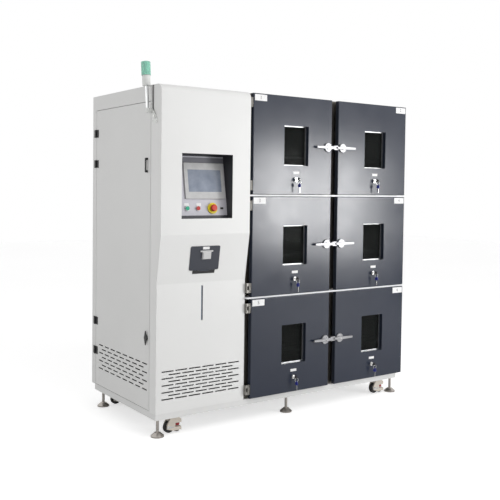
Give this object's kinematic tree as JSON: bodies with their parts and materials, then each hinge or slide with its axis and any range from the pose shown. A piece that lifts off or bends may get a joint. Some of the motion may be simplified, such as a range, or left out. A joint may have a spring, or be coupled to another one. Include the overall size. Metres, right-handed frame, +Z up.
{
  "type": "environmental test chamber",
  "caption": "Floor cabinet with separate test chambers behind windowed doors with latches and locks, beside a control column with touch screen, filler flap and folding signal lamp.",
  "frame": {"origin": "on the floor, under the middle of the bounding box", "axes": "+X from the control column toward the chamber doors' far side, +Y from the front to the back, +Z up"},
  "size_m": [1.869, 0.8934, 2.0017],
  "materials": {
    "base_steel": "satin",
    "cover_white": "satin",
    "side_grey": "satin",
    "frame_grey": "satin",
    "door_slate": "satin",
    "recess_dark": "matte",
    "stainless": "brushed",
    "gasket_black": "matte",
    "hardware": "polished",
    "screen": "gloss",
    "pane": "clear",
    "tank_plastic": "matte",
    "machine": "satin",
    "gear": "matte",
    "caster_cream": "matte",
    "wheel_dark": "matte",
    "foot_zinc": "satin",
    "green": "gloss",
    "red": "gloss",
    "lamp_white": "matte",
    "flap_dark": "satin"
  },
  "bodies": {
    "cabinet": {"base_frame": "base_steel", "left_frame": "side_grey", "outer_wrapper": "side_grey", "rear_cover": "side_grey", "face_frame": "frame_grey", "chamber_liners": "stainless", "chamber_racks": "stainless", "door_gaskets": "gasket_black", "door_fittings": "hardware", "front_cover": "cover_white", "control_recess": "recess_dark", "touch_screen": "screen", "water_tank": "tank_plastic", "refrigeration_unit": "machine", "control_gear": "gear"},
    "door_lower_left": {"door_lower_left": "door_slate", "glass_lower_left": "pane"},
    "lever_lower_left": {"lever_lower_left": "hardware"},
    "lock_lower_left": {"lock_lower_left": "hardware"},
    "door_lower_right": {"door_lower_right": "door_slate", "glass_lower_right": "pane"},
    "lever_lower_right": {"lever_lower_right": "hardware"},
    "lock_lower_right": {"lock_lower_right": "hardware"},
    "door_middle_left": {"door_middle_left": "door_slate", "glass_middle_left": "pane"},
    "lever_middle_left": {"lever_middle_left": "hardware"},
    "lock_middle_left": {"lock_middle_left": "hardware"},
    "door_middle_right": {"door_middle_right": "door_slate", "glass_middle_right": "pane"},
    "lever_middle_right": {"lever_middle_right": "hardware"},
    "lock_middle_right": {"lock_middle_right": "hardware"},
    "door_upper_left": {"door_upper_left": "door_slate", "glass_upper_left": "pane"},
    "lever_upper_left": {"lever_upper_left": "hardware"},
    "lock_upper_left": {"lock_upper_left": "hardware"},
    "door_upper_right": {"door_upper_right": "door_slate", "glass_upper_right": "pane"},
    "lever_upper_right": {"lever_upper_right": "hardware"},
    "lock_upper_right": {"lock_upper_right": "hardware"},
    "caster_front_left": {"caster_front_left": "caster_cream"},
    "wheel_front_left": {"wheel_front_left": "wheel_dark"},
    "caster_front_right": {"caster_front_right": "caster_cream"},
    "wheel_front_right": {"wheel_front_right": "wheel_dark"},
    "caster_rear_left": {"caster_rear_left": "caster_cream"},
    "wheel_rear_left": {"wheel_rear_left": "wheel_dark"},
    "caster_rear_right": {"caster_rear_right": "caster_cream"},
    "wheel_rear_right": {"wheel_rear_right": "wheel_dark"},
    "foot_front_left": {"foot_front_left": "foot_zinc"},
    "foot_front_middle": {"foot_front_middle": "foot_zinc"},
    "foot_front_right": {"foot_front_right": "foot_zinc"},
    "foot_rear_left": {"foot_rear_left": "foot_zinc"},
    "foot_rear_middle": {"foot_rear_middle": "foot_zinc"},
    "foot_rear_right": {"foot_rear_right": "foot_zinc"},
    "green_button": {"green_button": "green"},
    "red_button": {"red_button": "red"},
    "emergency_stop": {"emergency_stop": "red"},
    "signal_lamp": {"signal_lamp": "lamp_white"},
    "service_door": {"service_door": "side_grey"},
    "service_lock": {"service_lock": "hardware"},
    "filler_flap": {"filler_flap": "flap_dark"}
  },
  "joints": [
    {"name": "door_lower_left_swing", "type": "hinge", "parent": "cabinet", "child": "door_lower_left", "pos_m": [-0.2915, -0.39325, 0.4225], "axis": [0, 0, -1], "range_deg": [0, 100]},
    {"name": "door_lower_right_swing", "type": "hinge", "parent": "cabinet", "child": "door_lower_right", "pos_m": [0.9245, -0.36425, 0.4225], "axis": [0, 0, 1], "range_deg": [0, 110]},
    {"name": "door_middle_left_swing", "type": "hinge", "parent": "cabinet", "child": "door_middle_left", "pos_m": [-0.2915, -0.39325, 1.007], "axis": [0, 0, -1], "range_deg": [0, 100]},
    {"name": "door_middle_right_swing", "type": "hinge", "parent": "cabinet", "child": "door_middle_right", "pos_m": [0.9245, -0.36425, 1.007], "axis": [0, 0, 1], "range_deg": [0, 110]},
    {"name": "door_upper_left_swing", "type": "hinge", "parent": "cabinet", "child": "door_upper_left", "pos_m": [-0.2915, -0.39325, 1.5915], "axis": [0, 0, -1], "range_deg": [0, 100]},
    {"name": "door_upper_right_swing", "type": "hinge", "parent": "cabinet", "child": "door_upper_right", "pos_m": [0.9245, -0.36425, 1.5915], "axis": [0, 0, 1], "range_deg": [0, 110]},
    {"name": "lever_lower_left_turn", "type": "hinge", "parent": "door_lower_left", "child": "lever_lower_left", "pos_m": [0.2675, -0.41525, 0.4225], "axis": [0, -1, 0], "range_deg": [0, 90]},
    {"name": "lever_lower_right_turn", "type": "hinge", "parent": "door_lower_right", "child": "lever_lower_right", "pos_m": [0.3845, -0.41525, 0.4225], "axis": [0, 1, 0], "range_deg": [0, 90]},
    {"name": "lever_middle_left_turn", "type": "hinge", "parent": "door_middle_left", "child": "lever_middle_left", "pos_m": [0.2675, -0.41525, 1.007], "axis": [0, -1, 0], "range_deg": [0, 90]},
    {"name": "lever_middle_right_turn", "type": "hinge", "parent": "door_middle_right", "child": "lever_middle_right", "pos_m": [0.3845, -0.41525, 1.007], "axis": [0, 1, 0], "range_deg": [0, 90]},
    {"name": "lever_upper_left_turn", "type": "hinge", "parent": "door_upper_left", "child": "lever_upper_left", "pos_m": [0.2675, -0.41525, 1.5915], "axis": [0, -1, 0], "range_deg": [0, 90]},
    {"name": "lever_upper_right_turn", "type": "hinge", "parent": "door_upper_right", "child": "lever_upper_right", "pos_m": [0.3845, -0.41525, 1.5915], "axis": [0, 1, 0], "range_deg": [0, 90]},
    {"name": "service_door_swing", "type": "hinge", "parent": "cabinet", "child": "service_door", "pos_m": [-0.885, 0.39425, 0.9655], "axis": [0, 0, -1], "range_deg": [0, 110]},
    {"name": "service_lock_turn", "type": "hinge", "parent": "service_door", "child": "service_lock", "pos_m": [-0.8795, -0.27625, 0.528], "axis": [1, 0, 0], "range_deg": [0, 90]},
    {"name": "signal_lamp_fold", "type": "hinge", "parent": "cabinet", "child": "signal_lamp", "pos_m": [-0.8825, -0.35425, 1.712], "axis": [1, 0, 0], "range_deg": [0, 95]},
    {"name": "filler_flap_tip", "type": "hinge", "parent": "cabinet", "child": "filler_flap", "pos_m": [-0.5955, -0.39149, 0.88751], "axis": [1, 0, 0], "range_deg": [0, 75]},
    {"name": "green_button_press", "type": "slide", "parent": "cabinet", "child": "green_button", "axis": [0, 0.9869, -0.1612], "range_m": [0, 0.003], "stiffness_N_per_m": 300, "springref_m": -0.001},
    {"name": "red_button_press", "type": "slide", "parent": "cabinet", "child": "red_button", "axis": [0, 0.9869, -0.1612], "range_m": [0, 0.003], "stiffness_N_per_m": 300, "springref_m": -0.001},
    {"name": "emergency_stop_press", "type": "slide", "parent": "cabinet", "child": "emergency_stop", "axis": [0, 0.9869, -0.1612], "range_m": [0, 0.005]},
    {"name": "lock_lower_left_turn", "type": "hinge", "parent": "door_lower_left", "child": "lock_lower_left", "pos_m": [0.0285, -0.40225, 0.2245], "axis": [0, 1, 0], "range_deg": [0, 90]},
    {"name": "lock_lower_right_turn", "type": "hinge", "parent": "door_lower_right", "child": "lock_lower_right", "pos_m": [0.6635, -0.40225, 0.2245], "axis": [0, 1, 0], "range_deg": [0, 90]},
    {"name": "lock_middle_left_turn", "type": "hinge", "parent": "door_middle_left", "child": "lock_middle_left", "pos_m": [0.0285, -0.40225, 0.809], "axis": [0, 1, 0], "range_deg": [0, 90]},
    {"name": "lock_middle_right_turn", "type": "hinge", "parent": "door_middle_right", "child": "lock_middle_right", "pos_m": [0.6635, -0.40225, 0.809], "axis": [0, 1, 0], "range_deg": [0, 90]},
    {"name": "lock_upper_left_turn", "type": "hinge", "parent": "door_upper_left", "child": "lock_upper_left", "pos_m": [0.0285, -0.40225, 1.3935], "axis": [0, 1, 0], "range_deg": [0, 90]},
    {"name": "lock_upper_right_turn", "type": "hinge", "parent": "door_upper_right", "child": "lock_upper_right", "pos_m": [0.6635, -0.40225, 1.3935], "axis": [0, 1, 0], "range_deg": [0, 90]},
    {"name": "caster_front_left_swivel", "type": "hinge", "parent": "cabinet", "child": "caster_front_left", "pos_m": [-0.7395, -0.31825, 0.098], "axis": [0, 0, 1], "continuous": true},
    {"name": "caster_front_right_swivel", "type": "hinge", "parent": "cabinet", "child": "caster_front_right", "pos_m": [0.7945, -0.31825, 0.098], "axis": [0, 0, 1], "continuous": true},
    {"name": "caster_rear_left_swivel", "type": "hinge", "parent": "cabinet", "child": "caster_rear_left", "pos_m": [-0.7395, 0.35075, 0.098], "axis": [0, 0, 1], "continuous": true},
    {"name": "caster_rear_right_swivel", "type": "hinge", "parent": "cabinet", "child": "caster_rear_right", "pos_m": [0.7945, 0.35075, 0.098], "axis": [0, 0, 1], "continuous": true},
    {"name": "wheel_front_left_spin", "type": "hinge", "parent": "caster_front_left", "child": "wheel_front_left", "pos_m": [-0.7655, -0.31825, 0.036], "axis": [0, 1, 0], "continuous": true},
    {"name": "wheel_front_right_spin", "type": "hinge", "parent": "caster_front_right", "child": "wheel_front_right", "pos_m": [0.7685, -0.31825, 0.036], "axis": [0, 1, 0], "continuous": true},
    {"name": "wheel_rear_left_spin", "type": "hinge", "parent": "caster_rear_left", "child": "wheel_rear_left", "pos_m": [-0.7655, 0.35075, 0.036], "axis": [0, 1, 0], "continuous": true},
    {"name": "wheel_rear_right_spin", "type": "hinge", "parent": "caster_rear_right", "child": "wheel_rear_right", "pos_m": [0.7685, 0.35075, 0.036], "axis": [0, 1, 0], "continuous": true},
    {"name": "foot_front_left_screw", "type": "slide", "parent": "cabinet", "child": "foot_front_left", "axis": [0, 0, -1], "range_m": [0, 0.02]},
    {"name": "foot_front_middle_screw", "type": "slide", "parent": "cabinet", "child": "foot_front_middle", "axis": [0, 0, -1], "range_m": [0, 0.02]},
    {"name": "foot_front_right_screw", "type": "slide", "parent": "cabinet", "child": "foot_front_right", "axis": [0, 0, -1], "range_m": [0, 0.02]},
    {"name": "foot_rear_left_screw", "type": "slide", "parent": "cabinet", "child": "foot_rear_left", "axis": [0, 0, -1], "range_m": [0, 0.02]},
    {"name": "foot_rear_middle_screw", "type": "slide", "parent": "cabinet", "child": "foot_rear_middle", "axis": [0, 0, -1], "range_m": [0, 0.02]},
    {"name": "foot_rear_right_screw", "type": "slide", "parent": "cabinet", "child": "foot_rear_right", "axis": [0, 0, -1], "range_m": [0, 0.02]}
  ]
}
